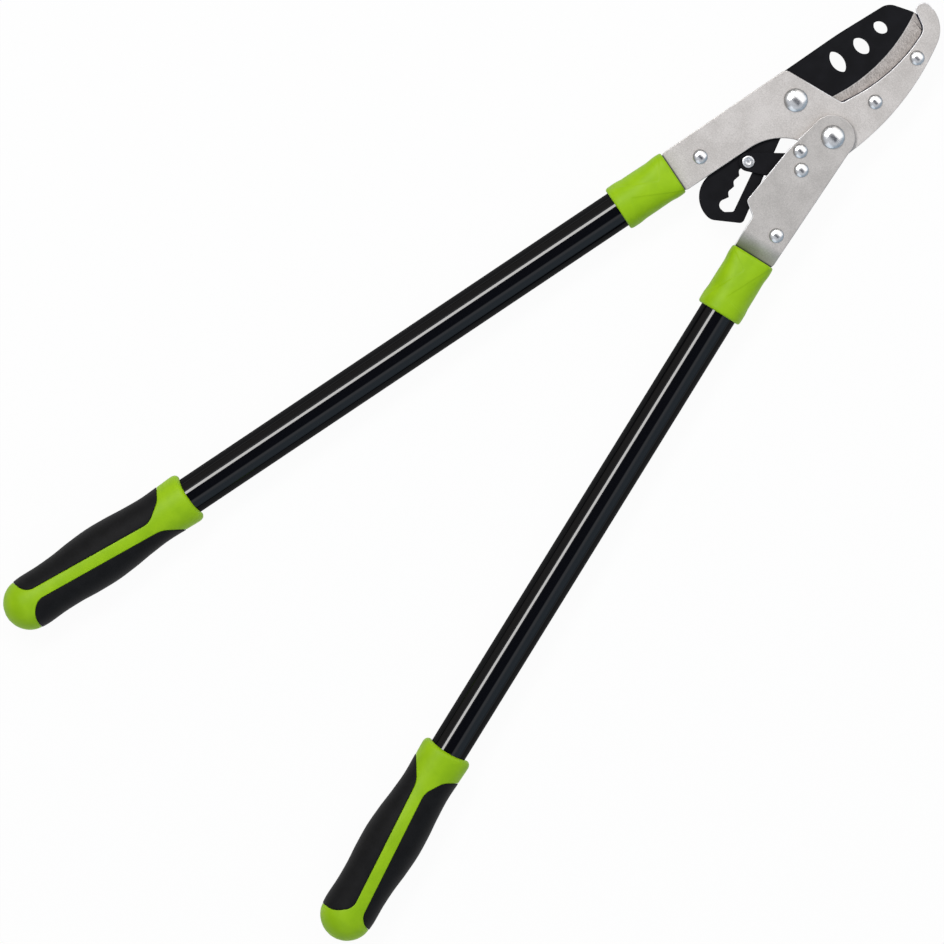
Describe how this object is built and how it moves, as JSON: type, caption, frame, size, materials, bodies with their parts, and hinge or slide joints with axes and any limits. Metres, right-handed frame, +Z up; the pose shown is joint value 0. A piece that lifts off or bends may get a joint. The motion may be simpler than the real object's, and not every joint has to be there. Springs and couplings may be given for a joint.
{
  "type": "lopper",
  "caption": "Ratchet anvil lopper with a pierced blade, paired plate jaws, a toothed slot and link, straight tube handles and soft moulded grips, lying flat and shut.",
  "frame": {"origin": "middle of the bounding box's base, on the surface that the tool lies on", "axes": "+Y from the grips to the jaws along the middle of the two handles, +X towards the moving handle, +Z up out of the front plates"},
  "size_m": [0.3248, 0.707, 0.0357],
  "materials": {
    "plate_steel": "satin, bead blasted",
    "rivet_steel": "bright zinc plate",
    "coated_steel": "satin low-friction coating",
    "spring_steel": "oiled",
    "anvil_alloy": "satin",
    "tube_paint": "gloss",
    "green_plastic": "satin",
    "soft_rubber": "matte, fine grain"
  },
  "bodies": {
    "anvil_side": {"anvil_plate_front": "plate_steel", "anvil_plate_rear": "plate_steel", "anvil_insert": "anvil_alloy", "anvil_rivet_tip": "rivet_steel", "anvil_rivet_heel": "rivet_steel", "anvil_tang_rivet": "rivet_steel", "anvil_tang_spacer": "spring_steel", "blade_pivot_rivet": "rivet_steel", "main_pivot_rivet": "rivet_steel", "main_pivot_spacer": "spring_steel", "handle_tube_a": "tube_paint", "collar_a": "green_plastic", "collar_pin_a": "spring_steel", "grip_core_a": "green_plastic", "grip_panel_inner_a": "soft_rubber", "grip_panel_outer_a": "soft_rubber"},
    "lever_side": {"lever_plate_front": "plate_steel", "lever_plate_rear": "plate_steel", "lever_rivet": "rivet_steel", "lever_rivet_spacer": "spring_steel", "lever_tang_spacer": "spring_steel", "link_pivot_rivet": "rivet_steel", "link_pivot_spacer": "spring_steel", "spring_post_rivet": "rivet_steel", "link_spring": "spring_steel", "handle_tube_b": "tube_paint", "collar_b": "green_plastic", "collar_pin_b": "spring_steel", "grip_core_b": "green_plastic", "grip_panel_inner_b": "soft_rubber", "grip_panel_outer_b": "soft_rubber"},
    "blade_side": {"blade": "coated_steel"},
    "link_side": {"link_plate_front": "coated_steel", "link_plate_rear": "coated_steel", "ratchet_pin": "rivet_steel"}
  },
  "joints": [
    {"name": "lever_open", "type": "hinge", "parent": "anvil_side", "child": "lever_side", "pos_m": [0.02104, 0.24778, 0.01784], "axis": [0, 0, 1], "range_deg": [0, 50]},
    {"name": "blade_open", "type": "hinge", "parent": "anvil_side", "child": "blade_side", "pos_m": [-0.01296, 0.24838, 0.01784], "axis": [0, 0, 1], "range_deg": [0, 29]},
    {"name": "link_swing", "type": "hinge", "parent": "lever_side", "child": "link_side", "pos_m": [0.02124, 0.21808, 0.01784], "axis": [0, 0, 1], "range_deg": [-15.2, 0]}
  ],
  "couplings": [
    {"joint": "blade_open", "follows": "lever_open", "ratio": 0.575},
    {"joint": "link_swing", "follows": "lever_open", "ratio": -0.3}
  ]
}
